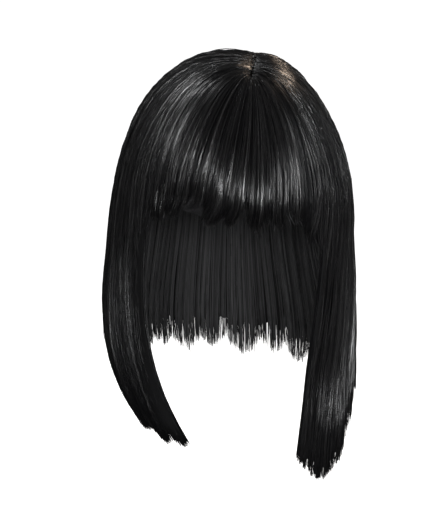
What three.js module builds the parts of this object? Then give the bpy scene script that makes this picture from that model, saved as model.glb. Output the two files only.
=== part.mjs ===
// Bob wig with a full fringe: a stretch cap and the four falls of hair that are sewn to it.
//
// Millimetres, +Z up. The wearer faces -Y, and the wearer's left is +X. The origin is the
// inside top of the cap, where the head seats. The head leans to the wearer's left, so the
// cap and the crown are worked out in the head's own frame and then leaned, while the ends
// of the hair are given in the upright frame, because hair hangs plumb.
// A turn is an angle round the head from the face, in degrees, positive to the wearer's left.

import * as THREE from "three";

// Finishes: near-black fibre with a gloss, and the matt stretch net of the cap.
const hairFinish = { color: 0x0c0c0e, roughness: 0.35, metalness: 0 };
const netFinish = { color: 0x131316, roughness: 0.85, metalness: 0 };

// Driving dimensions
const headLean = THREE.MathUtils.degToRad(6);
const capWall = 1.5;
const pieceGap = 0.4;
const seatGap = 1.4; // the backing of the hair over the cap

// The head form inside the cap: half sizes in plan, and an equator below the inside top.
const head = { halfWidth: 76, front: 96, back: 96, equator: -112, square: 2.4 };

// The cap's edge by turn: hairline, temple, tab before the ear, ear, mastoid and nape.
const capEdge = [
  { turn: 0, z: -52 },
  { turn: 48, z: -70 },
  { turn: 74, z: -98 },
  { turn: 96, z: -84 },
  { turn: 128, z: -112 },
  { turn: 180, z: -134 },
];
const capMeridians = 40;
const capRings = 11;
const napeHug = 4; // how late the cap's depth below the equator comes in

// The parting on the crown: a slit, open to the cap, that all the hair grows from. It lies a
// little to the wearer's left, by the skew more so at the back than in front, and the hair
// dips to it from a lip on each side.
const parting = { midX: 5, midY: -17, skew: 5, halfLength: 38, halfWidth: 2, dip: 3, lip: 0.3 };

// The ridge of the crown along the parting: its top, and how it falls away in front and behind.
const ridge = { top: 27, y: 0, fall: 18, reach: 60 };

// The outside of the hair where it leaves the head: an oval in plan, and by turn the level
// that it lies at, how square the crown's profile is above it, and how much of the head's
// lean the hair keeps as it leaves.
const fallOval = { toLeft: 108.5, toRight: 98.5, front: 125, back: 100, midY: 15, square: 1.8 };
const crownProfile = [
  { turn: -180, level: -118, square: 2.2, keptLean: 0.5 },
  { turn: -90, level: -125, square: 2.42, keptLean: 1.2 },
  { turn: -50, level: -86, square: 2.05, keptLean: 1 },
  { turn: 0, level: -86, square: 1.45, keptLean: 0.6 },
  { turn: 45, level: -92, square: 1.75, keptLean: 0.4 },
  { turn: 90, level: -125, square: 1.87, keptLean: -1.1 },
  { turn: 180, level: -118, square: 2.2, keptLean: 0.5 },
];

// Locks: each is crowned across its width, and a groove parts it from the next.
const lockColumns = 4;
const grooveDepth = 2.2;
const grooveLimit = 0.4; // the most of the wall's thickness that a groove takes
const grooveStart = 0.3; // share of the hair's length where the grooves reach full depth
const endNotch = 2; // how much a fall's first edge is cut back
const tipRoundness = 1.5; // how a lock's end falls away to its notches: 1 is a plain V

// The falls. Rows are how many steps the mesh takes over the crown and down the free length.
// Tips give where the hair ends, upright frame, and how far outside the tip its last stretch
// begins, which is its curl. Locks give each lock's share of the width, how much shorter than
// the tips it is cut, and how deep the notch is on its far side. A shelf is where the front of
// a fall lies on the shoulder: it steps forward between two shares of the free length, as far
// round as the turn until, which it fades out towards.
const falls = [
  {
    name: "fringe",
    crownRows: 9,
    fallRows: 4,
    endThickness: 3.5,
    tips: [
      { turn: -50, x: -83, y: -65, z: -101, curlX: -1, curlY: 0 },
      { turn: -30, x: -60, y: -93, z: -101, curlX: -1, curlY: -1 },
      { turn: -10, x: -30, y: -105, z: -103, curlX: 0, curlY: -2 },
      { turn: 10, x: 5, y: -105, z: -107, curlX: 0, curlY: -2 },
      { turn: 26, x: 33, y: -94, z: -112, curlX: 1, curlY: -1 },
      { turn: 42, x: 53, y: -78, z: -125, curlX: 1, curlY: 0 },
    ],
    locks: [
      { share: 1.2, short: 0, notch: 3 },
      { share: 0.9, short: 3, notch: 20 },
      { share: 0.6, short: 9, notch: 8 },
      { share: 1.1, short: 0, notch: 7 },
      { share: 0.9, short: 1, notch: 24 },
      { share: 1.1, short: 0, notch: 6 },
      { share: 1.0, short: 2, notch: 10 },
      { share: 0.7, short: 8, notch: 9 },
      { share: 1.1, short: 0, notch: 2 },
    ],
  },
  {
    name: "right_side",
    crownRows: 7,
    fallRows: 9,
    endThickness: 5,
    frontEdge: -50,
    tips: [
      { turn: -118, x: -88, y: 56, z: -250, curlX: -16, curlY: 2 },
      { turn: -104, x: -93, y: 36, z: -269, curlX: -29, curlY: 0 },
      { turn: -90, x: -89, y: 10, z: -282, curlX: -37, curlY: 0 },
      { turn: -76, x: -85, y: -32, z: -285, curlX: -40, curlY: 0 },
      { turn: -62, x: -67, y: -69, z: -288, curlX: -43, curlY: 2 },
      { turn: -50, x: -47, y: -77, z: -292, curlX: -47, curlY: 3 },
    ],
    locks: [
      { share: 1.0, short: 4, notch: 8 },
      { share: 1.2, short: 0, notch: 7 },
      { share: 0.9, short: 5, notch: 9 },
      { share: 1.1, short: 0, notch: 6 },
      { share: 1.0, short: 4, notch: 8 },
      { share: 1.2, short: 0, notch: 7 },
      { share: 0.9, short: 3, notch: 5 },
    ],
  },
  {
    name: "left_side",
    crownRows: 7,
    fallRows: 9,
    endThickness: 5,
    frontEdge: 42,
    shelf: { from: 0.57, to: 0.82, step: 10.5, until: 88, fade: 24 },
    tips: [
      { turn: 42, x: 37, y: -68, z: -302, curlX: 8, curlY: 0 },
      { turn: 52, x: 49, y: -61, z: -316, curlX: 6, curlY: 0 },
      { turn: 62, x: 66, y: -51, z: -322, curlX: 4, curlY: 0 },
      { turn: 70, x: 80, y: -40, z: -306, curlX: 2, curlY: 0 },
      { turn: 77, x: 87, y: -30, z: -289, curlX: 2, curlY: 1 },
      { turn: 90, x: 99, y: 8, z: -272, curlX: 1, curlY: 0 },
      { turn: 104, x: 97, y: 40, z: -267, curlX: 2, curlY: 0 },
      { turn: 118, x: 84, y: 68, z: -262, curlX: 4, curlY: 2 },
    ],
    locks: [
      { share: 0.9, short: 2, notch: 4 },
      { share: 1.1, short: 0, notch: 4 },
      { share: 1.0, short: 0, notch: 8 },
      { share: 1.2, short: 0, notch: 9 },
      { share: 1.0, short: 5, notch: 9 },
      { share: 1.1, short: 0, notch: 7 },
      { share: 0.9, short: 4, notch: 6 },
    ],
  },
  {
    name: "back",
    crownRows: 7,
    fallRows: 8,
    endThickness: 6,
    tips: [
      { turn: 118, x: 82, y: 70, z: -262, curlX: 5, curlY: 3 },
      { turn: 145, x: 50, y: 104, z: -261, curlX: 4, curlY: 8 },
      { turn: 180, x: -14, y: 114, z: -254, curlX: -2, curlY: 10 },
      { turn: 215, x: -68, y: 92, z: -248, curlX: -9, curlY: 8 },
      { turn: 242, x: -86, y: 58, z: -248, curlX: -16, curlY: 3 },
    ],
    locks: [
      { share: 1.0, short: 3, notch: 7 },
      { share: 1.1, short: 0, notch: 9 },
      { share: 0.9, short: 5, notch: 8 },
      { share: 1.2, short: 0, notch: 10 },
      { share: 1.0, short: 4, notch: 9 },
      { share: 1.1, short: 0, notch: 8 },
      { share: 0.9, short: 5, notch: 9 },
      { share: 1.1, short: 1, notch: 8 },
      { share: 1.0, short: 3, notch: 6 },
    ],
  },
];

// The free length's curve: how far along its ends set its direction, as shares of its length.
const freeCurve = { setOut: 0.4, last: 0.33 };

// The side falls thin out towards the edge that frames the face: how thick the edge is, how
// many degrees the thinning takes, and the share of the free length that it comes in over.
const faceEdge = { thickness: 2, width: 18, start: 0.14 };

const radians = THREE.MathUtils.degToRad;
const mix = THREE.MathUtils.lerp;
const ease = (value) => THREE.MathUtils.smoothstep(value, 0, 1);
const signedPower = (value, power) => Math.sign(value) * Math.abs(value) ** power;

// A column of a table at a turn: a smooth cubic through its rows.
function lookUp(rows, column, turn) {
  const last = rows.length - 1;
  let i = 0;
  while (i < last - 1 && turn > rows[i + 1].turn) i++;
  const slopeAt = (k) => {
    const before = rows[Math.max(k - 1, 0)];
    const after = rows[Math.min(k + 1, last)];
    return (after[column] - before[column]) / (after.turn - before.turn);
  };
  const width = rows[i + 1].turn - rows[i].turn;
  const t = (turn - rows[i].turn) / width;
  const rise = rows[i + 1][column] - rows[i][column];
  const bendIn = slopeAt(i) * width - rise;
  const bendOut = rise - slopeAt(i + 1) * width;
  return rows[i][column] + rise * t + t * (1 - t) * ((1 - t) * bendIn + t * bendOut);
}

// A turn brought between -180 and 180.
const wrapped = (turn) => ((((turn + 180) % 360) + 360) % 360) - 180;

// A point of the head's own frame, leaned as the head leans, or by a share of that.
const leanAxis = new THREE.Vector3(0, 1, 0);
const leaned = (point, share = 1) => point.applyAxisAngle(leanAxis, headLean * share);

// How wide the head form is at a level, as a share of its equator.
function headShare(level, grown) {
  const rise = Math.max(level - head.equator, 0) / (grown - head.equator);
  return (1 - rise ** head.square) ** (1 / head.square);
}

// The head form's plan at its equator, grown by an offset.
function headPlan(turn, grown) {
  const a = radians(turn);
  const depth = Math.cos(a) > 0 ? head.front : head.back;
  return new THREE.Vector2((head.halfWidth + grown) * Math.sin(a), -(depth + grown) * Math.cos(a));
}

// The head form's height over a point in plan, grown by an offset.
function headHeight(plan, grown) {
  const depth = (plan.y < 0 ? head.front : head.back) + grown;
  const share = Math.min(Math.hypot(plan.x / (head.halfWidth + grown), plan.y / depth), 1);
  return head.equator + (grown - head.equator) * (1 - share ** head.square) ** (1 / head.square);
}

// Where the hair of a turn grows from, on the slit of the parting.
function rootPlan(turn) {
  const a = radians(turn);
  return new THREE.Vector2(
    parting.midX - parting.skew * Math.cos(a) + parting.halfWidth * Math.sin(a),
    parting.midY - parting.halfLength * Math.cos(a),
  );
}

// The plan of the point where the outside of the hair leaves the head.
function fallPlan(turn) {
  const a = radians(turn);
  const power = 2 / fallOval.square;
  const side = Math.sin(a) > 0 ? fallOval.toLeft : fallOval.toRight;
  const depth = Math.cos(a) > 0 ? fallOval.front : fallOval.back;
  return new THREE.Vector2(
    side * signedPower(Math.sin(a), power),
    fallOval.midY - depth * signedPower(Math.cos(a), power),
  );
}

// A point on the outside of the crown, t running from the parting to where the hair falls.
function crownOutside(turn, t) {
  const level = lookUp(crownProfile, "level", wrapped(turn));
  const power = 2 / lookUp(crownProfile, "square", wrapped(turn));
  const along = Math.sin((t * Math.PI) / 2) ** power;
  const root = rootPlan(turn);
  const top = ridge.top - ridge.fall * ((root.y - ridge.y) / ridge.reach) ** 2;
  const plan = root.lerp(fallPlan(turn), along);
  const dip = parting.dip * Math.max(1 - t / parting.lip, 0) ** 2;
  const height = mix(level, top, Math.max(Math.cos((t * Math.PI) / 2), 0) ** power) - dip;
  return leaned(new THREE.Vector3(plan.x, plan.y, height));
}

// The same on the inside, which lies on the cap.
function crownInside(turn, t) {
  const grown = capWall + seatGap;
  const level = Math.max(lookUp(crownProfile, "level", wrapped(turn)), head.equator);
  const edge = headPlan(turn, grown).multiplyScalar(headShare(level, grown));
  const along = Math.sin((t * Math.PI) / 2) ** (2 / head.square);
  const plan = rootPlan(turn).lerp(edge, along);
  return leaned(new THREE.Vector3(plan.x, plan.y, headHeight(plan, grown)));
}

// A point of the free length, t running from where the hair leaves the head to its tip.
// It sets out along the way that it leaves the head, and its last stretch carries the curl.
function freeLength(start, tip, keptLean, curl, t) {
  const length = start.distanceTo(tip);
  const setOut = leaned(new THREE.Vector3(0, 0, -freeCurve.setOut * length), keptLean).add(start);
  const last = tip.clone().add(new THREE.Vector3(curl.x, curl.y, freeCurve.last * length));
  return new THREE.CubicBezierCurve3(start, setOut, last, tip).getPoint(t);
}

// The pair of points, outside and inside, at a turn and a share of the hair's length.
function hairPair(fall, turn, share) {
  const crownShare = fall.crownRows / (fall.crownRows + fall.fallRows);
  if (share <= crownShare) {
    const t = share / crownShare;
    return [crownOutside(turn, t), crownInside(turn, t)];
  }
  const t = (share - crownShare) / (1 - crownShare);
  const column = (name) => lookUp(fall.tips, name, turn);
  const tip = new THREE.Vector3(column("x"), column("y"), column("z"));
  const curl = new THREE.Vector2(column("curlX"), column("curlY"));
  const keptLean = lookUp(crownProfile, "keptLean", wrapped(turn));
  const start = crownOutside(turn, 1);
  const inward = new THREE.Vector3(start.x, start.y - fallOval.midY, 0).normalize();
  const innerTip = tip.clone().addScaledVector(inward, -fall.endThickness);
  const outside = freeLength(start, tip, keptLean, curl, t);
  const inside = freeLength(crownInside(turn, 1), innerTip, keptLean, curl, t);
  if (fall.shelf) {
    const { from, to, step, until, fade } = fall.shelf;
    const forward = step * ease((t - from) / (to - from)) * ease((until - turn) / fade);
    outside.y -= forward;
    inside.y -= forward;
  }
  if (fall.frontEdge !== undefined) {
    const near = ease(1 - Math.abs(turn - fall.frontEdge) / faceEdge.width);
    const spare = 1 - faceEdge.thickness / outside.distanceTo(inside);
    inside.lerp(outside, spare * near * ease(t / faceEdge.start));
  }
  return [outside, inside];
}

// The columns of a fall: a turn for each, its place across its lock, and how short it is cut.
function lockColumnsOf(fall) {
  const from = fall.tips[0].turn;
  const to = fall.tips.at(-1).turn;
  const total = fall.locks.reduce((sum, lock) => sum + lock.share, 0);
  const columns = [];
  let begun = 0;
  fall.locks.forEach((lock, i) => {
    const before = fall.locks[i - 1] ?? { short: 0, notch: endNotch };
    const after = fall.locks[i + 1] ?? { short: 0 };
    const nearNotch = Math.max(lock.short, before.short) + before.notch;
    const farNotch = Math.max(lock.short, after.short) + lock.notch;
    const count = i === fall.locks.length - 1 ? lockColumns + 1 : lockColumns;
    for (let k = 0; k < count; k++) {
      const across = k / lockColumns;
      const off = 2 * across - 1;
      const notch = off < 0 ? nearNotch : farNotch;
      columns.push({
        turn: mix(from, to, (begun + across * lock.share) / total),
        off,
        short: mix(lock.short, notch, Math.abs(off) ** tipRoundness),
      });
    }
    begun += lock.share;
  });
  return columns;
}

// The length of the hair at a turn, measured along its outside.
function hairLength(fall, turn) {
  const steps = fall.crownRows + fall.fallRows;
  let length = 0;
  let before = hairPair(fall, turn, 0)[0];
  for (let i = 1; i <= steps; i++) {
    const here = hairPair(fall, turn, i / steps)[0];
    length += here.distanceTo(before);
    before = here;
  }
  return length;
}

// A closed wall between an outer and an inner grid of points, rows by columns.
function wallGeometry(outer, inner) {
  const rows = outer.length;
  const columns = outer[0].length;
  const positions = [...outer.flat(), ...inner.flat()].flatMap((p) => [p.x, p.y, p.z]);
  const outerAt = (r, c) => r * columns + c;
  const innerAt = (r, c) => rows * columns + r * columns + c;
  const faces = [];
  const quad = (a, b, c, d) => faces.push(a, b, c, a, c, d);
  for (let r = 0; r + 1 < rows; r++) {
    for (let c = 0; c + 1 < columns; c++) {
      quad(outerAt(r, c), outerAt(r + 1, c), outerAt(r + 1, c + 1), outerAt(r, c + 1));
      quad(innerAt(r, c), innerAt(r, c + 1), innerAt(r + 1, c + 1), innerAt(r + 1, c));
    }
    quad(outerAt(r, 0), innerAt(r, 0), innerAt(r + 1, 0), outerAt(r + 1, 0));
    const c = columns - 1;
    quad(outerAt(r, c), outerAt(r + 1, c), innerAt(r + 1, c), innerAt(r, c));
  }
  for (let c = 0; c + 1 < columns; c++) {
    quad(outerAt(0, c), outerAt(0, c + 1), innerAt(0, c + 1), innerAt(0, c));
    const r = rows - 1;
    quad(outerAt(r, c), innerAt(r, c), innerAt(r, c + 1), outerAt(r, c + 1));
  }
  return meshGeometry(positions, faces);
}

function meshGeometry(positions, faces) {
  const geometry = new THREE.BufferGeometry();
  geometry.setAttribute("position", new THREE.Float32BufferAttribute(positions, 3));
  geometry.setIndex(faces);
  geometry.computeVertexNormals();
  return geometry;
}

// One fall of hair: locks side by side on one backing, cut to their own lengths.
function fallGeometry(fall) {
  const columns = lockColumnsOf(fall);
  const rows = fall.crownRows + fall.fallRows;
  const outer = [];
  const inner = [];
  for (let r = 0; r <= rows; r++) {
    const outerRow = [];
    const innerRow = [];
    columns.forEach((column, c) => {
      const end = 1 - column.short / hairLength(fall, column.turn);
      const share = (r / rows) * end;
      const [outside, inside] = hairPair(fall, column.turn, share);
      const outward = outside.clone().sub(inside).normalize();
      const deepest = Math.min(grooveDepth, grooveLimit * outside.distanceTo(inside));
      const groove = deepest * column.off ** 2 * ease(share / grooveStart);
      outside.addScaledVector(outward, -groove);
      const edge = c === 0 ? 1 : c === columns.length - 1 ? -1 : 0;
      if (edge) {
        const beside = hairPair(fall, column.turn + edge, share)[0];
        const aside = beside.sub(hairPair(fall, column.turn, share)[0]).setZ(0).normalize();
        outside.addScaledVector(aside, pieceGap / 2);
        inside.addScaledVector(aside, pieceGap / 2);
      }
      outerRow.push(outside);
      innerRow.push(inside);
    });
    outer.push(outerRow);
    inner.push(innerRow);
  }
  return wallGeometry(outer, inner);
}

// The stretch cap: a thin dome, deeper behind the ears and at the nape than on the forehead.
function capGeometry() {
  const positions = [];
  const faces = [];
  const ringPoint = (turn, ring, grown) => {
    const edge = lookUp(capEdge, "z", Math.abs(wrapped(turn)));
    const reach = Math.acos(Math.max((edge - head.equator) / -head.equator, 0) ** (head.square / 2));
    const angle = (reach * ring) / capRings;
    const share = Math.sin(angle) ** (2 / head.square);
    const plan = headPlan(turn, grown).multiplyScalar(share);
    const below = Math.min(edge - head.equator, 0) * (ring / capRings) ** napeHug;
    return leaned(new THREE.Vector3(plan.x, plan.y, headHeight(plan, grown) + below));
  };
  const layers = [capWall, 0].map((grown) => {
    const first = positions.length / 3;
    positions.push(...leaned(new THREE.Vector3(0, 0, grown)).toArray());
    for (let ring = 1; ring <= capRings; ring++) {
      for (let m = 0; m < capMeridians; m++) {
        positions.push(...ringPoint((360 * m) / capMeridians, ring, grown).toArray());
      }
    }
    return { pole: first, at: (ring, m) => first + 1 + (ring - 1) * capMeridians + (m % capMeridians) };
  });
  const [outer, inner] = layers;
  for (let m = 0; m < capMeridians; m++) {
    faces.push(outer.pole, outer.at(1, m), outer.at(1, m + 1));
    faces.push(inner.pole, inner.at(1, m + 1), inner.at(1, m));
    for (let ring = 1; ring < capRings; ring++) {
      const corners = (layer) => [
        layer.at(ring, m),
        layer.at(ring + 1, m),
        layer.at(ring + 1, m + 1),
        layer.at(ring, m + 1),
      ];
      const [a, b, c, d] = corners(outer);
      faces.push(a, b, c, a, c, d);
      const [e, f, g, h] = corners(inner);
      faces.push(e, g, f, e, h, g);
    }
    const rim = [outer.at(capRings, m), inner.at(capRings, m)];
    const next = [outer.at(capRings, m + 1), inner.at(capRings, m + 1)];
    faces.push(rim[0], rim[1], next[1], rim[0], next[1], next[0]);
  }
  return meshGeometry(positions, faces);
}

function namedMesh(name, geometry, finish) {
  const mesh = new THREE.Mesh(geometry, new THREE.MeshStandardMaterial(finish));
  mesh.name = name;
  return mesh;
}

const wig = new THREE.Group();
wig.add(namedMesh("cap", capGeometry(), netFinish));
for (const fall of falls) {
  wig.add(namedMesh(fall.name, fallGeometry(fall), hairFinish));
}

export default wig;
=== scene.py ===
import bmesh
import bpy
import numpy as np
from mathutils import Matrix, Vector


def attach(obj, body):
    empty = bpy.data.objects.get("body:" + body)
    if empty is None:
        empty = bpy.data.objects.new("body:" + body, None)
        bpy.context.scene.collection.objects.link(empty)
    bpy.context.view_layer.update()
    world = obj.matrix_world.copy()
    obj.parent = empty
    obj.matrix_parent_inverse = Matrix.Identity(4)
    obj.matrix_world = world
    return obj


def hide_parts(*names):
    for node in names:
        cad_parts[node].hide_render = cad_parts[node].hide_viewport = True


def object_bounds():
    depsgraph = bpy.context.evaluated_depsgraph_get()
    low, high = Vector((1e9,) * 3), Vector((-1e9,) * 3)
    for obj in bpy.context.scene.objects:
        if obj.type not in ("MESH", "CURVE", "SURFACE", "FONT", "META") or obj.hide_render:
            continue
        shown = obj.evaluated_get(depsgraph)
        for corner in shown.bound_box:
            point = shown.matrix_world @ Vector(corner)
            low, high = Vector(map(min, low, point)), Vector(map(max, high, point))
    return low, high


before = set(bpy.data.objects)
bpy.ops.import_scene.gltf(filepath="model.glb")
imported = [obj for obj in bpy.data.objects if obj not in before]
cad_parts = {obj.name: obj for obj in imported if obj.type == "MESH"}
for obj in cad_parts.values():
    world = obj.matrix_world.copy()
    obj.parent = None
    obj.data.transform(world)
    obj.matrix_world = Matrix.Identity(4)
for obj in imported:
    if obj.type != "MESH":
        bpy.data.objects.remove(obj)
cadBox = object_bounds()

mm = 0.001  # the tables below are in millimetres, the scene is in metres
fullTurn = 6.28  # radians, near enough for a random phase

# The form that the hair follows, as the frame has it: the dome that the cap lies on, the
# parting that the hair grows from, and the oval where its outside starts to hang free.
domeForm = {"halfWidth": 76, "depth": 96, "equator": -112, "square": 2.4, "lean": 6, "seat": 2.9}
parting = {"midX": 5, "midY": -17, "skew": 5, "halfLength": 38, "halfWidth": 2, "dip": 3, "lip": 0.3}
ridge = {"top": 27, "y": 0, "fall": 18, "reach": 60}
crown = {"toLeft": 108.5, "toRight": 98.5, "front": 125, "back": 100, "midY": 15, "square": 1.8}
crownProfile = {
    "turn": (-180, -90, -50, 0, 45, 90, 180),
    "level": (-118, -125, -86, -86, -92, -125, -118),
    "square": (2.2, 2.42, 2.05, 1.45, 1.75, 1.87, 2.2),
    "keptLean": (0.5, 1.2, 1, 0.6, 0.4, -1.1, 0.5),
}
freeCurve = {"setOut": 0.4, "last": 0.33}
openEdge = {"thickness": 2, "width": 18, "start": 0.14}  # where a side fall ends at the front

# The guides that the strands run on.
guideGrid = {
    "turns": 65,
    "crownSteps": 40,
    "freeSteps": 40,
    "pastTips": (1.03, 1.07, 1.12),
    "points": 85,
    "reach": 1.05,  # how far past the tips the guides run
    "evenPace": 0.3,  # the less, the more of a strand's points go where the hair bends
}


# Shape of the hair

def lookUp(table, column, turn):
    xs = np.asarray(table["turn"], float)
    ys = np.asarray(table[column], float)
    before = np.clip(np.arange(len(xs)) - 1, 0, None)
    after = np.clip(np.arange(len(xs)) + 1, None, len(xs) - 1)
    slope = (ys[after] - ys[before]) / (xs[after] - xs[before])
    i = np.clip(np.searchsorted(xs, turn) - 1, 0, len(xs) - 2)
    width = xs[i + 1] - xs[i]
    t = (turn - xs[i]) / width
    rise = ys[i + 1] - ys[i]
    bendIn = slope[i] * width - rise
    bendOut = rise - slope[i + 1] * width
    return ys[i] + rise * t + t * (1 - t) * ((1 - t) * bendIn + t * bendOut)


def wrapped(turn):
    return (turn + 180) % 360 - 180


def ease(value):
    value = np.clip(value, 0, 1)
    return value * value * (3 - 2 * value)


def mix(first, second, share):
    return first + (second - first) * share


def signedPower(value, power):
    return np.sign(value) * np.abs(value) ** power


def leaned(points, share=1.0):
    angle = np.radians(domeForm["lean"]) * share
    x, y, z = points[..., 0], points[..., 1], points[..., 2]
    return np.stack([x * np.cos(angle) + z * np.sin(angle), y, z * np.cos(angle) - x * np.sin(angle)], -1)


def rootPlan(turn):
    a = np.radians(turn)
    x = parting["midX"] - parting["skew"] * np.cos(a) + parting["halfWidth"] * np.sin(a)
    return np.stack([x, parting["midY"] - parting["halfLength"] * np.cos(a)], -1)


def fallPlan(turn):
    a = np.radians(turn)
    power = 2 / crown["square"]
    side = np.where(np.sin(a) > 0, crown["toLeft"], crown["toRight"])
    depth = np.where(np.cos(a) > 0, crown["front"], crown["back"])
    x = side * signedPower(np.sin(a), power)
    return np.stack([x, crown["midY"] - depth * signedPower(np.cos(a), power)], -1)


def crownOutside(turn, t):
    level = lookUp(crownProfile, "level", wrapped(turn))
    power = 2 / lookUp(crownProfile, "square", wrapped(turn))
    along = np.sin(t * np.pi / 2) ** power
    root = rootPlan(turn)
    top = ridge["top"] - ridge["fall"] * ((root[..., 1] - ridge["y"]) / ridge["reach"]) ** 2
    plan = mix(root, fallPlan(turn), along[..., None])
    dip = parting["dip"] * np.clip(1 - t / parting["lip"], 0, None) ** 2
    height = mix(level, top, np.clip(np.cos(t * np.pi / 2), 0, None) ** power) - dip
    return leaned(np.concatenate([plan, height[..., None]], -1))


def crownInside(turn, t):
    a = np.radians(turn)
    square = domeForm["square"]
    half = np.array([domeForm["halfWidth"], domeForm["depth"]]) + domeForm["seat"]
    rise = domeForm["seat"] - domeForm["equator"]
    level = np.maximum(lookUp(crownProfile, "level", wrapped(turn)), domeForm["equator"])
    share = (1 - ((level - domeForm["equator"]) / rise) ** square) ** (1 / square)
    edge = np.stack([half[0] * np.sin(a), -half[1] * np.cos(a)], -1) * share[..., None]
    plan = mix(rootPlan(turn), edge, (np.sin(t * np.pi / 2) ** (2 / square))[..., None])
    out = np.clip(np.linalg.norm(plan / half, axis=-1), 0, 1)
    height = domeForm["equator"] + rise * (1 - out ** square) ** (1 / square)
    return leaned(np.concatenate([plan, height[..., None]], -1))


def freeLength(start, tip, keptLean, curl, t):
    length = np.linalg.norm(start - tip, axis=-1)
    zero = np.zeros_like(length)
    down = np.stack([zero, zero, -freeCurve["setOut"] * length], -1)
    setOut = start + leaned(down, keptLean)
    last = tip + np.stack([curl[..., 0], curl[..., 1], freeCurve["last"] * length], -1)
    t = t[..., None]
    return (1 - t) ** 3 * start + 3 * t * (1 - t) ** 2 * setOut + 3 * t * t * (1 - t) * last + t ** 3 * tip


def freePair(fall, turn, t):
    tips = fall["tips"]
    tip = np.stack([lookUp(tips, name, turn) for name in ("x", "y", "z")], -1)
    curl = np.stack([lookUp(tips, name, turn) for name in ("curlX", "curlY")], -1)
    keptLean = lookUp(crownProfile, "keptLean", wrapped(turn))
    start = crownOutside(turn, np.ones_like(turn))
    outward = start * (1, 1, 0) - (0, crown["midY"], 0)
    outward /= np.linalg.norm(outward, axis=-1, keepdims=True)
    outside = freeLength(start, tip, keptLean, curl, t)
    inner = crownInside(turn, np.ones_like(turn))
    inside = freeLength(inner, tip - outward * fall["endThickness"], keptLean, curl, t)
    if "shelf" in fall:
        shelf = fall["shelf"]
        forward = shelf["step"] * ease((t - shelf["from"]) / (shelf["to"] - shelf["from"]))
        forward = forward * ease((shelf["until"] - turn) / shelf["fade"])
        outside[..., 1] -= forward
        inside[..., 1] -= forward
    if "openTurn" in fall:
        near = ease(1 - np.abs(turn - fall["openTurn"]) / openEdge["width"])
        spare = 1 - openEdge["thickness"] / np.linalg.norm(outside - inside, axis=-1)
        inside = mix(inside, outside, (spare * near * ease(t / openEdge["start"]))[..., None])
    return outside, inside


def turnRange(fall):
    over = fall.get("overlap", 0)
    return fall["tips"]["turn"][0] - over, fall["tips"]["turn"][-1] + over


# The fall as a grid of guides: turn by share of the length, outside and inside.
def fallGuides(fall):
    turns = np.linspace(*turnRange(fall), guideGrid["turns"])
    crownEnd = guideGrid["crownSteps"]
    tipPlace = crownEnd + guideGrid["freeSteps"]
    crownT = np.linspace(0, 1, guideGrid["crownSteps"] + 1)
    freeT = np.linspace(0, 1, guideGrid["freeSteps"] + 1)[1:]
    crownTurn, crownT = np.meshgrid(turns, crownT, indexing="ij")
    freeTurn, freeT = np.meshgrid(turns, np.concatenate([freeT, guideGrid["pastTips"]]), indexing="ij")
    outsideFree, insideFree = freePair(fall, freeTurn, freeT)
    outside = np.concatenate([crownOutside(crownTurn, crownT), outsideFree], 1)
    inside = np.concatenate([crownInside(crownTurn, crownT), insideFree], 1)
    step = np.linalg.norm(np.diff(outside, axis=1), axis=2)
    along = np.concatenate([np.zeros((len(turns), 1)), np.cumsum(step, 1)], 1)
    length = along[:, tipPlace]
    shares = np.linspace(0, guideGrid["reach"], guideGrid["points"])
    pair = []
    for layer in (outside, inside):
        rows = [[np.interp(shares * length[i], along[i], layer[i, :, k]) for k in range(3)]
                for i in range(len(turns))]
        pair.append(np.transpose(np.array(rows), (0, 2, 1)))
    bend = np.linalg.norm(np.diff(pair[0], 2, axis=1), axis=2).max(0)
    pace = np.sqrt(bend / bend.max()) + guideGrid["evenPace"]
    pace = np.concatenate([[0], np.cumsum(np.concatenate([pace[:1], pace]))])
    return {"turns": turns, "outside": pair[0], "inside": pair[1], "length": length,
            "crownShare": along[:, crownEnd] / length, "shares": shares, "pace": pace}


def onGuides(guides, turn, share):
    turns = guides["turns"]
    rows, columns = guides["outside"].shape[:2]
    a = np.clip((turn - turns[0]) / (turns[-1] - turns[0]), 0, 1) * (rows - 1)
    b = np.clip(share / guideGrid["reach"], 0, 1) * (columns - 1)
    i = np.minimum(a.astype(int), rows - 2)
    j = np.minimum(b.astype(int), columns - 2)
    a = (a - i)[..., None]
    b = (b - j)[..., None]
    found = []
    for name in ("outside", "inside"):
        grid = guides[name]
        near = mix(grid[i, j], grid[i, j + 1], b)
        far = mix(grid[i + 1, j], grid[i + 1, j + 1], b)
        found.append(mix(near, far, a))
    return found


# How the hair gathers, the same on every fall: in locks, in clumps within a lock, and in
# runs of strands of one tone.

lockHabit = {
    "neighbour": (0, 0, 2, 1),  # stands beside the first lock and the last
    "notchCurve": 1.5,  # how late a lock's end rises towards its notches
    "perDegree": 1.75,  # usual width of a degree of turn
    "groove": 2.2,  # relief between locks
    "grooveShare": 0.4,  # the most of the fall's thickness that a groove takes
    "sparseThinned": 2.6,  # how many more strands are cut short where a lock isn't full
    "mostThinned": 0.95,
    "sparseCut": 3,  # and how much shorter
}
clumpHabit = {
    "least": 3,  # in a lock
    "mingled": 0.2,  # how far strands stray into the next clump, in clumps
    "offCentre": 0.18,
    "edge": 1.2,  # where its relief stops growing, in half widths
    "tone": (0.65, 1.1),
    "pull": (0.3, 1.3),  # how much of its fall's pull a strand follows
    "pullFrom": 0.25,  # share of the length where strands start to draw together
    "seam": 4,  # degrees beside a seam where no clump draws away from the next fall
    "groove": 0.9,  # relief between clumps
    "wave": 0.7,  # how far a clump rises and sinks along its length
    "waveLength": 105,
}
toneHabit = {
    "least": 4,  # runs in a lock
    "width": 1.0,
    "mingled": 0.15,
    "share": 0.45,  # how much of a strand's tone is its run's
    "rarity": 1.6,  # how few strands are glossy
    "endFrom": 0.35,  # share of the length where the gloss of the ends takes over
    "endOver": 0.2,
}

# How the single strands lie.

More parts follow.
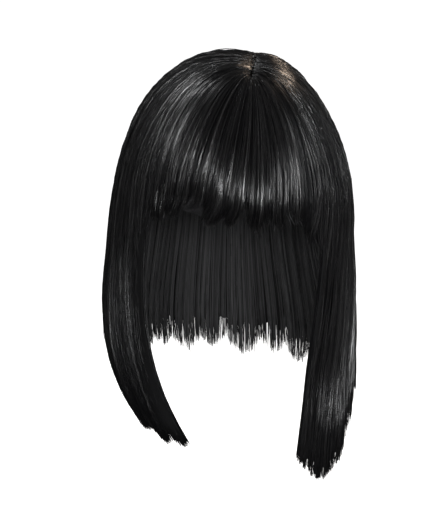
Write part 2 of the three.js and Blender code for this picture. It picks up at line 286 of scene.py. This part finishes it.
strandHabit = {
    "sides": 3,
    "radius": (0.2, 0.42),
    "rootRadius": 0.5,  # share of the radius at the root
    "rootShare": 0.06,  # share of the strand that it takes to get thick
    "tipRadius": 0.38,  # share of the radius left at the tip
    "taper": 0.86,  # share of the strand where it starts to thin
    "swayPace": 5.0,
    "swayPhase": 3,
    "ownPace": 6.0,
    "ownSway": 0.25,
    "swayGrowth": 1.5,
    "looseShare": 0.05,  # a few strands part from the rest
    "looseSplay": 3.0,
    "splayCurve": 5,  # how late the ends splay
}
outerHabit = {
    "depth": 2.4,  # how deep the outer strands run
    "depthCurve": 1.3,
    "brightOnTop": 0.9,  # how much nearer to the surface the glossiest strands run
    "brightGrowth": 1.2,
    "tuck": 3.0,  # how deep a strand starts that isn't rooted in the parting
    "tuckShare": 0.14,
    "ownWave": 0.3,
    "ownWavePace": 0.9,
    "grooveFrom": 0.3,  # share of the length where the grooves are full
    "waveFrom": 0.2,
    "least": 0.1,  # depth that all but the strays keep
    "strayLift": 1.6,
    "strayGrowth": 1.4,
    "strayRadius": 0.7,
}
innerHabit = {
    "middle": (0.2, 0.8),  # where the middle layer lies in the thickness
    "spread": 1.6,  # how far the inner layer reaches into it
    "margin": 0.05,
}
wispHabit = {  # the short hairs at the parting
    "reach": (0.05, 0.13),
    "depth": 0.3,
    "lift": 0.9,
    "least": -1.0,
    "cross": 1.4,  # how far over the parting they start, as a share of its half width
    "leastTone": 0.5,
}

# Where the strands of a layer start, from and to, as shares of the way over the crown, and
# the share of them that are rooted in the parting itself.
layerStarts = {
    "outer": (0.45, 0.95, 0.65),
    "wisps": (0.0, 0.0, 1.0),
    "middle": (0.3, 0.9, 0.0),
    "inner": (0.75, 1.0, 0.0),
}


# Which of a lock's even groups each strand belongs to.
def gathered(across, groups, mingled, dice):
    place = across * groups + dice.normal(0, mingled, len(across))
    return np.clip(place.astype(int), 0, groups - 1)


# The strands of one layer, lock by lock and clump by clump, a row for each.
def strandPlan(fall, wanted, dice):
    locks = fall["locks"]
    total = sum(lock[0] for lock in locks)
    weight = sum(lock[0] * lock[3] for lock in locks)
    first, last = turnRange(fall)
    thinnedShare, thinnedCut = fall["thinned"]
    columns = []
    begun = 0.0
    for k, (share, short, notch, fill) in enumerate(locks):
        count = int(round(wanted * share * fill / weight))
        before = locks[k - 1] if k else lockHabit["neighbour"]
        after = locks[k + 1] if k + 1 < len(locks) else lockHabit["neighbour"]
        nearNotch = max(short, before[1]) + before[2]
        farNotch = max(short, after[1]) + notch
        across = (np.arange(count) + dice.random(count)) / count
        off = 2 * across - 1
        width = lockHabit["perDegree"] * abs(last - first) * share / total
        clumps = max(clumpHabit["least"], int(round(width / fall["clumpWidth"])))
        clump = gathered(across, clumps, clumpHabit["mingled"], dice)
        clumpMid = (np.arange(clumps) + 0.5 + dice.normal(0, clumpHabit["offCentre"], clumps)) / clumps
        clumpCut = np.abs(dice.normal(0, fall["clumpCut"], clumps))
        runs = max(toneHabit["least"], int(round(width / toneHabit["width"])))
        run = gathered(across, runs, toneHabit["mingled"], dice)
        runTone = dice.random(runs) ** toneHabit["rarity"]
        clumpSway = dice.normal(0, 1, (clumps, 2))
        clumpTone = mix(*clumpHabit["tone"], dice.random(clumps))
        cut = mix(short, np.where(off < 0, nearNotch, farNotch), np.abs(off) ** lockHabit["notchCurve"])
        sparse = 1 - min(fill, 1)
        thinnedHere = min(thinnedShare + lockHabit["sparseThinned"] * sparse, lockHabit["mostThinned"])
        thinned = dice.random(count) < thinnedHere
        cut = cut + clumpCut[clump] + dice.normal(0, fall["ragged"], count)
        cut = cut + dice.exponential(thinnedCut * (1 + lockHabit["sparseCut"] * sparse), count) * thinned
        ownTone = dice.random(count) ** toneHabit["rarity"]
        edge = clumpHabit["edge"]
        columns.append({
            "turn": mix(first, last, (begun + across * share) / total),
            "clumpTurn": mix(first, last, (begun + clumpMid[clump] * share) / total),
            "off": off,
            "clumpOff": np.clip(2 * (across - clumpMid[clump]) * clumps, -edge, edge),
            "cut": cut,
            "tone": mix(ownTone, runTone[run], toneHabit["share"]) * clumpTone[clump],
            "swayA": clumpSway[clump, 0],
            "swayB": clumpSway[clump, 1],
        })
        begun += share
    return {name: np.concatenate([c[name] for c in columns])[:, None] for name in columns[0]}


# How far down the fall each point of a strand lies, and how far along the strand itself.
def strandShares(plan, guides, layer, points, dice):
    shape = plan["turn"].shape
    length = np.interp(plan["turn"], guides["turns"], guides["length"])
    crownShare = np.interp(plan["turn"], guides["turns"], guides["crownShare"])
    early, late, rootedShare = layerStarts[layer]
    rooted = dice.random(shape) < rootedShare
    start = np.where(rooted, 0, crownShare * mix(early, late, dice.random(shape)))
    end = np.minimum(1 - plan["cut"] / length, guideGrid["reach"])
    if layer == "wisps":
        end = mix(*wispHabit["reach"], dice.random(shape))
    paceStart = np.interp(start, guides["shares"], guides["pace"])
    paceEnd = np.interp(end, guides["shares"], guides["pace"])
    steps = np.linspace(0, 1, points)
    shift = (dice.random(shape) - 0.5) / (points - 1)  # so that the bends don't line up
    steps = steps + shift * np.sin(np.pi * steps)
    share = np.interp(mix(paceStart, paceEnd, steps), guides["pace"], guides["shares"])
    return share, (share - start) / (end - start), rooted, length


# Across the fall: drawn together towards the clump, with a slow sway and a splay at the very end.
def strandTurns(fall, plan, guides, share, along, dice):
    shape = plan["turn"].shape
    pull = fall["pull"] * mix(*clumpHabit["pull"], dice.random(shape))
    pull = pull * ease((share - clumpHabit["pullFrom"]) / (1 - clumpHabit["pullFrom"]))
    seam = np.minimum(plan["turn"] - guides["turns"][0], guides["turns"][-1] - plan["turn"])
    turn = mix(plan["turn"], plan["clumpTurn"], pull * ease(seam / clumpHabit["seam"]))
    sway = plan["swayA"] * np.sin(strandHabit["swayPace"] * share + strandHabit["swayPhase"] * plan["swayB"])
    own = dice.normal(0, 1, shape)
    own = own * np.sin(strandHabit["ownPace"] * share + fullTurn * dice.random(shape))
    sway = fall["sway"] * sway + strandHabit["ownSway"] * own
    loose = np.where(dice.random(shape) < strandHabit["looseShare"], strandHabit["looseSplay"], 1.0)
    splay = dice.normal(0, fall["splay"], shape) * loose * along ** strandHabit["splayCurve"]
    return turn + sway * ease(strandHabit["swayGrowth"] * share) + splay


def lockRelief(off, thick):
    return np.minimum(lockHabit["groove"], lockHabit["grooveShare"] * thick) * off ** 2


# Outer strands follow the relief of the locks and clumps, the glossy ones on top.
def outerDepth(plan, share, along, rooted, length, thick, dice):
    shape = plan["turn"].shape
    relief = lockRelief(plan["off"], thick) + clumpHabit["groove"] * plan["clumpOff"] ** 2
    phase = 2 * np.pi * share * length / clumpHabit["waveLength"]
    wave = clumpHabit["wave"] * (1 + np.sin(phase + fullTurn * plan["swayB"]))
    ownPhase = outerHabit["ownWavePace"] * phase + fullTurn * dice.random(shape)
    wave = wave + outerHabit["ownWave"] * (1 + np.sin(ownPhase))
    dull = 1 - outerHabit["brightOnTop"] * ease(outerHabit["brightGrowth"] * plan["tone"])
    depth = outerHabit["depth"] * dice.random(shape) ** outerHabit["depthCurve"] * dull
    depth = depth + relief * ease(share / outerHabit["grooveFrom"])
    depth = depth + wave * ease(share / outerHabit["waveFrom"])
    return depth + outerHabit["tuck"] * (1 - ease(along / outerHabit["tuckShare"])) * ~rooted


def strandPaths(fall, guides, layer, dice):
    wanted, points = fall["layers"][layer]
    plan = strandPlan(fall, wanted, dice)
    shape = plan["turn"].shape
    share, along, rooted, length = strandShares(plan, guides, layer, points, dice)
    turn = strandTurns(fall, plan, guides, share, along, dice)
    outside, inside = onGuides(guides, turn, share)
    thick = np.linalg.norm(outside - inside, axis=-1)
    outward = (outside - inside) / thick[..., None]

    # depth under the outside of the fall
    stray = np.zeros(shape)
    least = outerHabit["least"]
    if layer == "outer":
        depth = outerDepth(plan, share, along, rooted, length, thick, dice)
        stray = (dice.random(shape) < fall["strays"]) * dice.random(shape)
    elif layer == "wisps":
        depth = wispHabit["depth"] - wispHabit["lift"] * np.sin(np.pi * along) * dice.random(shape)
        least = wispHabit["least"]
    elif layer == "middle":
        depth = thick * mix(*innerHabit["middle"], dice.random(shape))
    else:
        depth = thick - innerHabit["spread"] * dice.random(shape)
    depth = np.clip(depth, least, thick - innerHabit["margin"])
    depth = depth - outerHabit["strayLift"] * stray * ease(outerHabit["strayGrowth"] * share)
    places = outside - outward * depth[..., None]

    radius = mix(*strandHabit["radius"], dice.random(shape))
    radius = radius * np.where(stray > 0, outerHabit["strayRadius"], 1)
    thinned = ease((along - strandHabit["taper"]) / (1 - strandHabit["taper"]))
    radius = radius * mix(1, strandHabit["tipRadius"], thinned)
    radius = radius * mix(strandHabit["rootRadius"], 1, ease(along / strandHabit["rootShare"]))

    nearEnd = ease((share - toneHabit["endFrom"]) / toneHabit["endOver"])
    tone = plan["tone"] * mix(1, fall["endGloss"], nearEnd)
    if layer == "wisps":
        over = wispHabit["cross"] * parting["halfWidth"] * np.sin(np.radians(turn))
        places[..., 0] -= over * (1 - along) ** 2
        tone = mix(wispHabit["leastTone"], 1, tone)
    # this mark also gives these strands the lighter inside colours, painted fill light
    hidden = np.full(share.shape, float(layer == "inner"))  # 1 on the inside, none at an open edge
    if "openTurn" in fall:
        hidden = hidden * ease(np.abs(turn - fall["openTurn"]) / openEdge["width"])
    return places * mm, outward, radius * mm, tone, hidden


# Strands as closed prisms: a ring of corners at each point, and a cap at each end.
def strandArrays(points, outward, radius):
    count, steps = points.shape[:2]
    sides = strandHabit["sides"]
    tangent = np.gradient(points, axis=1)
    tangent /= np.linalg.norm(tangent, axis=-1, keepdims=True)
    side = np.cross(tangent, outward)
    side /= np.linalg.norm(side, axis=-1, keepdims=True)
    up = np.cross(side, tangent)
    angle = np.radians(90) + np.arange(sides) * 2 * np.pi / sides
    ring = np.cos(angle)[:, None] * side[:, :, None, :] + np.sin(angle)[:, None] * up[:, :, None, :]
    corners = points[:, :, None, :] + ring * radius[:, :, None, None]
    base = (np.arange(count) * steps * sides)[:, None, None]
    row = (np.arange(steps - 1) * sides)[None, :, None]
    here = np.arange(sides)[None, None, :]
    there = (here + 1) % sides
    quads = np.stack([base + row + here, base + row + sides + here,
                      base + row + sides + there, base + row + there], -1).reshape(-1, 4)
    firstCap = base[:, :, 0] + np.arange(sides)[None, :]
    lastCap = base[:, :, 0] + (steps - 1) * sides + np.arange(sides)[::-1][None, :]
    return corners.reshape(-1, 3), quads, np.concatenate([firstCap, lastCap])


def meshFromArrays(name, corners, faceSets):
    mesh = bpy.data.meshes.new(name)
    sizes = np.concatenate([np.full(len(faces), faces.shape[1]) for faces in faceSets])
    order = np.concatenate([faces.ravel() for faces in faceSets]).astype(np.int32)
    starts = np.concatenate([[0], np.cumsum(sizes)[:-1]]).astype(np.int32)
    mesh.vertices.add(len(corners))
    mesh.vertices.foreach_set("co", corners.astype(np.float32).ravel())
    mesh.loops.add(len(order))
    mesh.loops.foreach_set("vertex_index", order)
    mesh.polygons.add(len(starts))
    mesh.polygons.foreach_set("loop_start", starts)
    mesh.update(calc_edges=True)
    return mesh


def addAttribute(mesh, name, values):
    attribute = mesh.attributes.new(name, "FLOAT", "POINT")
    attribute.data.foreach_set("value", np.asarray(values, np.float32))


sheetHabit = {
    "columns": 72,
    "rows": 30,
    "margin": 0.012,  # share of the fall left bare at its sides and at the parting
    "notchShare": 0.6,  # how far its end follows the notches
    "deepest": 0.62,  # the most of the fall's thickness that it lies under
    "thickness": 0.7,
}


# The body of the fall under its strands: a thin sheet at mid depth that stops short of the
# tips, so that the ends stay loose strands. Its finish is painted shade: darker and duller than the strands.
def underSheet(fall, guides, dice):
    locks = fall["locks"]
    columns, margin = sheetHabit["columns"], sheetHabit["margin"]
    edges = np.cumsum([0] + [lock[0] for lock in locks])
    edges = edges / edges[-1]
    middles = (edges[:-1] + edges[1:]) / 2
    shorts = [lock[1] + sheetHabit["notchShare"] * lock[2] for lock in locks]
    bm = bmesh.new()
    bmesh.ops.create_grid(bm, x_segments=columns, y_segments=sheetHabit["rows"], size=0.5)
    flat = np.array([vert.co for vert in bm.verts])
    across = flat[:, 0] + 0.5
    down = 0.5 - flat[:, 1]
    turns = guides["turns"]
    turn = mix(turns[0], turns[-1], mix(margin, 1 - margin, across))
    length = np.interp(turn, turns, guides["length"])
    jags = fall["sheetJag"] * dice.random(columns + 1)
    jag = np.interp(across, np.linspace(0, 1, columns + 1), jags)
    end = 1 - (fall["sheetShort"] + np.interp(across, middles, shorts) + jag) / length
    outside, inside = onGuides(guides, turn, mix(margin, end, down))
    thick = np.linalg.norm(outside - inside, axis=-1)
    outward = (outside - inside) / thick[:, None]
    lock = np.clip(np.searchsorted(edges, across) - 1, 0, len(locks) - 1)
    off = 2 * (across - edges[lock]) / (edges[lock + 1] - edges[lock]) - 1
    depth = np.minimum(fall["sheetDepth"] + lockRelief(off, thick), sheetHabit["deepest"] * thick)
    places = (outside - outward * depth[:, None]) * mm
    for vert, place in zip(bm.verts, places):
        vert.co = place
    bmesh.ops.recalc_face_normals(bm, faces=bm.faces[:])
    bmesh.ops.solidify(bm, geom=bm.faces[:], thickness=sheetHabit["thickness"] * mm)
    bmesh.ops.recalc_face_normals(bm, faces=bm.faces[:])
    mesh = bpy.data.meshes.new(fall["node"] + "_sheet")
    bm.to_mesh(mesh)
    bm.free()
    addAttribute(mesh, "tone", np.zeros(len(mesh.vertices)))
    addAttribute(mesh, "inside", np.zeros(len(mesh.vertices)))
    return mesh


def makeFall(fall, looseFinish, underShadeFinish):
    dice = np.random.default_rng(fall["seed"])
    guides = fallGuides(fall)
    corners, quads, caps, tones, insides = [], [], [], [], []
    begun = 0
    for layer in fall["layers"]:
        points, outward, radius, tone, inside = strandPaths(fall, guides, layer, dice)
        someCorners, someQuads, someCaps = strandArrays(points, outward, radius)
        corners.append(someCorners)
        quads.append(someQuads + begun)
        caps.append(someCaps + begun)
        tones.append(np.repeat(tone.ravel(), strandHabit["sides"]))
        insides.append(np.repeat(inside.ravel(), strandHabit["sides"]))
        begun += len(someCorners)
    mesh = meshFromArrays(fall["node"] + "_strands", np.concatenate(corners),
                          [np.concatenate(quads), np.concatenate(caps)])
    addAttribute(mesh, "tone", np.concatenate(tones))
    addAttribute(mesh, "inside", np.concatenate(insides))
    mesh.materials.append(looseFinish)
    under = underSheet(fall, guides, dice)
    under.materials.append(underShadeFinish)
    sheet = bpy.data.objects.new(fall["node"] + "_sheet", under)
    piece = bpy.data.objects.new(fall["node"] + "_hair", mesh)
    for obj in (sheet, piece):
        bpy.context.scene.collection.objects.link(obj)
        obj.data.polygons.foreach_set("use_smooth", [True] * len(obj.data.polygons))
    both = {"active_object": piece, "object": piece, "selected_editable_objects": [piece, sheet]}
    with bpy.context.temp_override(**both):
        bpy.ops.object.join()
    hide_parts(fall["node"])
    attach(piece, "root")
    triangles = sum(len(face.vertices) - 2 for face in piece.data.polygons)
    print(fall["node"], "triangles", triangles)


# Falls. A layer is how many strands it has and the points of each. A lock is its share of the
# width, how much shorter it is cut, how deep the notch after it goes, and how full it is.

fringe = {
    "node": "fringe", "seed": 11, "endThickness": 3.5,
    "layers": {"outer": (2100, 14), "wisps": (18, 6), "middle": (220, 7), "inner": (220, 7)},
    "pull": 0.4, "sway": 0.35, "splay": 0.5, "strays": 0.02, "clumpWidth": 3.0, "endGloss": 1.0,
    "clumpCut": 2.0, "ragged": 1.6, "thinned": (0.3, 8),
    "sheetShort": 42, "sheetJag": 9, "sheetDepth": 5.2,
    "tips": {
        "turn": (-50, -30, -10, 10, 26, 42),
        "x": (-83, -60, -30, 5, 33, 53),
        "y": (-65, -93, -105, -105, -94, -78),
        "z": (-101, -101, -103, -107, -112, -125),
        "curlX": (-1, -1, 0, 0, 1, 1),
        "curlY": (0, -1, -2, -2, -1, 0),
    },
    "locks": [
        (1.2, 0, 3, 1.0), (0.9, 3, 20, 0.9), (0.6, 9, 8, 0.6), (1.1, 0, 7, 1.1), (0.9, 1, 24, 1.0),
        (1.1, 0, 6, 1.0), (1.0, 2, 10, 1.0), (0.7, 8, 9, 0.8), (1.1, 0, 2, 1.0),
    ],
}

rightSide = {
    "node": "right_side", "seed": 23, "endThickness": 5, "openTurn": -50,
    "layers": {"outer": (1500, 18), "wisps": (18, 6), "middle": (360, 8), "inner": (360, 8)},
    "pull": 0.35, "sway": 0.3, "splay": 0.5, "strays": 0.015, "clumpWidth": 3.4, "endGloss": 0.5,
    "clumpCut": 1.6, "ragged": 1.4, "thinned": (0.25, 7),
    "sheetShort": 6, "sheetJag": 6, "sheetDepth": 5.4,
    "tips": {
        "turn": (-118, -104, -90, -76, -62, -50),
        "x": (-88, -93, -89, -85, -67, -47),
        "y": (56, 36, 10, -32, -69, -77),
        "z": (-250, -269, -282, -285, -288, -292),
        "curlX": (-16, -29, -37, -40, -43, -47),
        "curlY": (2, 0, 0, 0, 2, 3),
    },
    "locks": [
        (1.0, 4, 8, 1), (1.2, 0, 7, 1), (0.9, 5, 9, 1), (1.1, 0, 6, 1), (1.0, 4, 8, 1),
        (1.2, 0, 7, 1), (0.9, 3, 5, 1),
    ],
}

leftSide = {
    "node": "left_side", "seed": 37, "endThickness": 5, "openTurn": 42,
    "shelf": {"from": 0.57, "to": 0.82, "step": 10.5, "until": 88, "fade": 24},  # its end lies forward
    "layers": {"outer": (1500, 18), "wisps": (18, 6), "middle": (360, 8), "inner": (360, 8)},
    "pull": 0.35, "sway": 0.3, "splay": 0.5, "strays": 0.015, "clumpWidth": 3.4, "endGloss": 1.0,
    "clumpCut": 1.6, "ragged": 1.4, "thinned": (0.25, 7),
    "sheetShort": 6, "sheetJag": 6, "sheetDepth": 5.4,
    "tips": {
        "turn": (42, 52, 62, 70, 77, 90, 104, 118),
        "x": (37, 49, 66, 80, 87, 99, 97, 84),
        "y": (-68, -61, -51, -40, -30, 8, 40, 68),
        "z": (-302, -316, -322, -306, -289, -272, -267, -262),
        "curlX": (8, 6, 4, 2, 2, 1, 2, 4),
        "curlY": (0, 0, 0, 0, 1, 0, 0, 2),
    },
    "locks": [
        (0.9, 2, 4, 1), (1.1, 0, 4, 1), (1.0, 0, 8, 1), (1.2, 0, 9, 0.8), (1.0, 5, 9, 0.75),
        (1.1, 0, 7, 0.9), (0.9, 4, 6, 1),
    ],
}

back = {
    "node": "back", "seed": 53, "endThickness": 6, "overlap": 2.6,  # degrees over the seams at the sides
    "layers": {"outer": (1300, 18), "wisps": (12, 6), "middle": (360, 8), "inner": (760, 8)},
    "pull": 0.35, "sway": 0.3, "splay": 0.5, "strays": 0.015, "clumpWidth": 5.0, "endGloss": 1.0,
    "clumpCut": 4.0, "ragged": 1.4, "thinned": (0.3, 8),
    "sheetShort": 16, "sheetJag": 10, "sheetDepth": 5.4,
    "tips": {
        "turn": (118, 145, 180, 215, 242),
        "x": (82, 50, -14, -68, -86),
        "y": (70, 104, 114, 92, 58),
        "z": (-262, -261, -254, -248, -248),
        "curlX": (5, 4, -2, -9, -16),
        "curlY": (3, 8, 10, 8, 3),
    },
    "locks": [
        (1.0, 3, 7, 1), (1.1, 0, 9, 1), (0.9, 5, 8, 1), (1.2, 0, 10, 1), (1.0, 4, 9, 1),
        (1.1, 0, 8, 1), (0.9, 5, 9, 1), (1.1, 1, 8, 1), (1.0, 3, 6, 1),
    ],
}


# Finishes

class Wire:
    def __init__(self, finish, socket):
        self.finish = finish
        self.socket = socket

    def sum(self, operation, first, second):
        return self.finish.node("ShaderNodeMath", {"operation": operation}, {0: first, 1: second})

    def __add__(self, other):
        return self.sum("ADD", self, other)

    def __radd__(self, other):
        return self.sum("ADD", other, self)

    def __sub__(self, other):
        return self.sum("SUBTRACT", self, other)

    def __rsub__(self, other):
        return self.sum("SUBTRACT", other, self)

    def __mul__(self, other):
        return self.sum("MULTIPLY", self, other)

    def __rmul__(self, other):
        return self.sum("MULTIPLY", other, self)

    def __pow__(self, other):
        return self.sum("POWER", self, other)

    def __rpow__(self, other):
        return self.sum("POWER", other, self)


# The nodes of a material or of the world, and the shader that they feed.
class Finish:
    def __init__(self, owner, shader, constants):
        self.owner = owner
        owner.use_nodes = True
        self.tree = owner.node_tree
        self.shader = self.tree.nodes[shader]
        for socket, value in constants.items():
            self.shader.inputs[socket].default_value = value

    def node(self, kind, settings=None, inputs=None, output=0):
        made = self.tree.nodes.new(kind)
        for name, value in (settings or {}).items():
            setattr(made, name, value)
        for key, value in (inputs or {}).items():
            if isinstance(value, Wire):
                self.tree.links.new(value.socket, made.inputs[key])
            else:
                made.inputs[key].default_value = value
        return Wire(self, made.outputs[output])

    def feed(self, socket, wire):
        self.tree.links.new(wire.socket, self.shader.inputs[socket])

    def blend(self, factor, first, second):
        return self.node("ShaderNodeMix", {"data_type": "RGBA"}, {0: factor, 6: first, 7: second}, 2)


def newFinish(name, constants):
    return Finish(bpy.data.materials.new(name), "Principled BSDF", constants)


fibreLook = {
    "grain": (700, 700, 18),  # fine across the strand, long down it
    "grainDetail": 2.0,
    "grainShare": 0.3,
    "lightCurve": 1.6,  # how few strands get the light colour
    "glossCurve": 2.2,  # how few get the full gloss
    "insideRoughness": 0.3,
}
looseLook = {
    "dark": (0.0014, 0.0014, 0.0017, 1),
    "light": (0.008, 0.0075, 0.0075, 1),
    # painted fill light: the inner strands are the same hair as the outer ones, drawn a lighter grey as if a
    # lamp lit the inside of the falls
    "inside": ((0.01, 0.01, 0.0105, 1), (0.045, 0.045, 0.046, 1)),
    "roughness": (0.3, -0.02),  # of the dark strands, and what the light ones add
    "specular": 0.06,
    "coat": 1.0,
    "coatRoughness": 0.23,
    "coatIor": 1.95,
}
# painted shade: the sheet stands for the hair deep in the fall and is drawn darker and duller than the
# strands
underShadeLook = {
    "dark": (0.0008, 0.0008, 0.001, 1),
    "light": (0.003, 0.0028, 0.0028, 1),
    "inside": ((0.003, 0.003, 0.003, 1), (0.003, 0.003, 0.003, 1)),
    "roughness": (0.7, 0.2),
    "specular": 0.12,
    "coat": 0.0,
    "coatRoughness": 0.3,
    "coatIor": 1.5,
}


def hairFinish(name, look):
    finish = newFinish(name, {"Specular IOR Level": look["specular"],
                              "Coat Roughness": look["coatRoughness"], "Coat IOR": look["coatIor"]})
    tone = finish.node("ShaderNodeAttribute", {"attribute_name": "tone"}, output="Fac")
    inside = finish.node("ShaderNodeAttribute", {"attribute_name": "inside"}, output="Fac")
    place = finish.node("ShaderNodeTexCoord", output="Object")
    stretched = finish.node("ShaderNodeMapping", None, {"Vector": place, "Scale": fibreLook["grain"]})
    grain = finish.node("ShaderNodeTexNoise", None,
                        {"Vector": stretched, "Scale": 1.0, "Detail": fibreLook["grainDetail"]})
    shade = (1 - fibreLook["grainShare"]) * tone + fibreLook["grainShare"] * grain
    colour = finish.blend(shade ** fibreLook["lightCurve"], look["dark"], look["light"])
    # the inside attribute swaps in the lighter inside colours, painted fill light on the inner strands
    finish.feed("Base Color", finish.blend(inside, colour, finish.blend(tone, *look["inside"])))
    low, spread = look["roughness"]
    finish.feed("Roughness", low + spread * shade + fibreLook["insideRoughness"] * inside)
    finish.feed("Coat Weight", look["coat"] * tone ** fibreLook["glossCurve"] * (1 - inside))
    return finish.owner


capLook = {
    "net": (0.012, 0.012, 0.013, 1),
    "thread": (0.03, 0.03, 0.032, 1),
    "roughness": 0.85,
    "specular": 0.3,
    "holes": 480,
    "threadEdge": (0.04, 0.16),  # where a thread starts to fall away and where it ends
    "weftSpacing": 0.009,
    "weftSway": 0.4,
    "weftShare": 0.5,
    "weftCurve": 6.0,  # the more, the narrower the wefts
    "relief": 0.0006,
    "reliefStrength": 0.6,
}
waveSpacing = 0.314  # between the bands of a wave texture at scale 1


def capFinish():
    finish = newFinish("cap_net", {"Roughness": capLook["roughness"],
                                   "Specular IOR Level": capLook["specular"]})
    place = finish.node("ShaderNodeTexCoord", output="Object")
    cell = finish.node("ShaderNodeTexVoronoi", {"feature": "DISTANCE_TO_EDGE"},
                       {"Vector": place, "Scale": capLook["holes"]})
    near, far = capLook["threadEdge"]
    thread = finish.node("ShaderNodeMapRange", {"clamp": True},
                         {"Value": cell, "From Min": near, "From Max": far, "To Min": 1.0, "To Max": 0.0})
    weft = finish.node("ShaderNodeTexWave", {"wave_type": "BANDS", "bands_direction": "Z"},
                       {"Vector": place, "Scale": waveSpacing / capLook["weftSpacing"],
                        "Distortion": capLook["weftSway"]})
    raised = (1 - capLook["weftShare"]) * thread + capLook["weftShare"] * weft ** capLook["weftCurve"]
    finish.feed("Base Color", finish.blend(raised, capLook["net"], capLook["thread"]))
    bump = finish.node("ShaderNodeBump", None, {"Height": raised, "Strength": capLook["reliefStrength"],
                                                "Distance": capLook["relief"]})
    finish.feed("Normal", bump)
    return finish.owner


# Stage, light and camera

stageLook = {
    "drop": 0.16,  # how far the floor lies below the longest tips
    "radius": 14.0,
    "segments": 64,
    "colour": (0.8, 0.8, 0.8, 1),
    "roughness": 0.9,
    "glowColour": (1, 1, 1, 1),
    "glow": 0.97,
}


def makeStage():
    bm = bmesh.new()
    bmesh.ops.create_circle(bm, cap_ends=True, segments=stageLook["segments"], radius=stageLook["radius"])
    bmesh.ops.translate(bm, vec=(0, 0, cadBox[0][2] - stageLook["drop"]), verts=bm.verts[:])
    mesh = bpy.data.meshes.new("floor")
    bm.to_mesh(mesh)
    bm.free()
    floor = bpy.data.objects.new("floor", mesh)
    floor.visible_glossy = False  # the gloss of the hair shows the lamps alone
    bpy.context.scene.collection.objects.link(floor)
    finish = newFinish("floor", {"Base Color": stageLook["colour"], "Roughness": stageLook["roughness"],
                                 "Emission Color": stageLook["glowColour"],
                                 "Emission Strength": stageLook["glow"]})
    mesh.materials.append(finish.owner)


coolLight = (0.98, 0.99, 1.0)
warmLight = (1.0, 0.78, 0.6)
lampTable = [
    # name, place, aim, width, height, watts, colour
    ("front", (0.1, -2.5, 0.44), (0, -0.1, -0.1), 1.8, 0.34, 84, coolLight),
    ("sideLeft", (-1.75, 0.35, 0.9), (-0.05, 0, -0.03), 0.3, 0.6, 7, coolLight),
    ("crownLeft", (-0.9, 0.6, 1.2), (-0.03, -0.02, 0.02), 0.3, 0.8, 11, coolLight),
    ("sideRight", (1.9, -0.15, 0.75), (0.05, 0, -0.03), 0.3, 0.6, 3.4, coolLight),
    ("lowRight", (2.0, -1.15, -0.08), (0.05, -0.06, -0.25), 0.6, 0.35, 23, coolLight),
    ("behind", (0.9, 0.7, 0.9), (0.03, -0.03, 0.01), 0.2, 0.2, 4.5, warmLight),
]


def aimed(place, aim):
    return (Vector(aim) - Vector(place)).to_track_quat("-Z", "Y").to_euler()


def makeLamps():
    for name, place, aim, width, height, watts, colour in lampTable:
        lamp = bpy.data.lights.new(name, "AREA")
        lamp.shape = "RECTANGLE"
        lamp.size = width
        lamp.size_y = height
        lamp.energy = watts
        lamp.color = colour
        obj = bpy.data.objects.new(name, lamp)
        obj.location = place
        obj.rotation_euler = aimed(place, aim)
        bpy.context.scene.collection.objects.link(obj)


skyLook = {"colour": (1, 1, 1, 1), "seen": 1.0, "light": 0.15}


def makeSky():
    sky = Finish(bpy.data.worlds.new("studio"), "Background", {"Color": skyLook["colour"]})
    seen = sky.node("ShaderNodeLightPath", output="Is Camera Ray")
    strength = sky.node("ShaderNodeMapRange", None,
                        {"Value": seen, "To Min": skyLook["light"], "To Max": skyLook["seen"]})
    sky.feed("Strength", strength)
    bpy.context.scene.world = sky.owner
    bpy.context.scene.view_settings.view_transform = "Standard"


cameraView = {
    "place": (-0.1675, -1.6571, 0.1716),
    "aim": (-0.0306, -0.0925, -0.1337),
    "lens": 138.7,
    "sensor": 36,
}


def makeCamera():
    data = bpy.data.cameras.new("camera")
    data.lens = cameraView["lens"]
    data.sensor_width = cameraView["sensor"]
    obj = bpy.data.objects.new("camera", data)
    obj.location = cameraView["place"]
    obj.rotation_euler = aimed(cameraView["place"], cameraView["aim"])
    bpy.context.scene.collection.objects.link(obj)
    bpy.context.scene.camera = obj


makeCamera()
makeStage()
makeLamps()
makeSky()
print("stage ready")

looseHair = hairFinish("hair", looseLook)
underShadeHair = hairFinish("hair_under", underShadeLook)
for fall in (fringe, rightSide, leftSide, back):
    makeFall(fall, looseHair, underShadeHair)

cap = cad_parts["cap"]
cap.data.materials.clear()
cap.data.materials.append(capFinish())
print("cap dressed")
